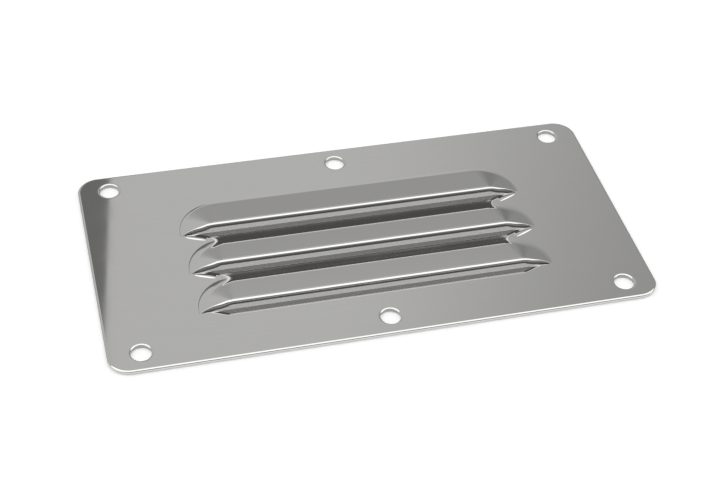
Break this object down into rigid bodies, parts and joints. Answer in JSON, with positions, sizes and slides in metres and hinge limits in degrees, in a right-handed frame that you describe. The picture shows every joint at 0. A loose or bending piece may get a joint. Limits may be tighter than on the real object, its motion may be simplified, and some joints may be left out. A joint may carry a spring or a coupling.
{
  "type": "boat vent cover",
  "caption": "Flat rectangular vent cover pressed from polished stainless sheet, with forward-opening louvre hoods and screw holes along both long sides.",
  "frame": {"origin": "centre of the flat back face, the face that lies against the bulkhead", "axes": "+X along the slots and the long sides, +Y from the slots' open side to the bend lines of the hoods, +Z out of the face that is seen"},
  "size_m": [0.127, 0.065, 0.0033],
  "materials": {
    "stainless_sheet": "polished"
  },
  "bodies": {
    "root": {"vent_cover": "stainless_sheet"}
  },
  "joints": []
}
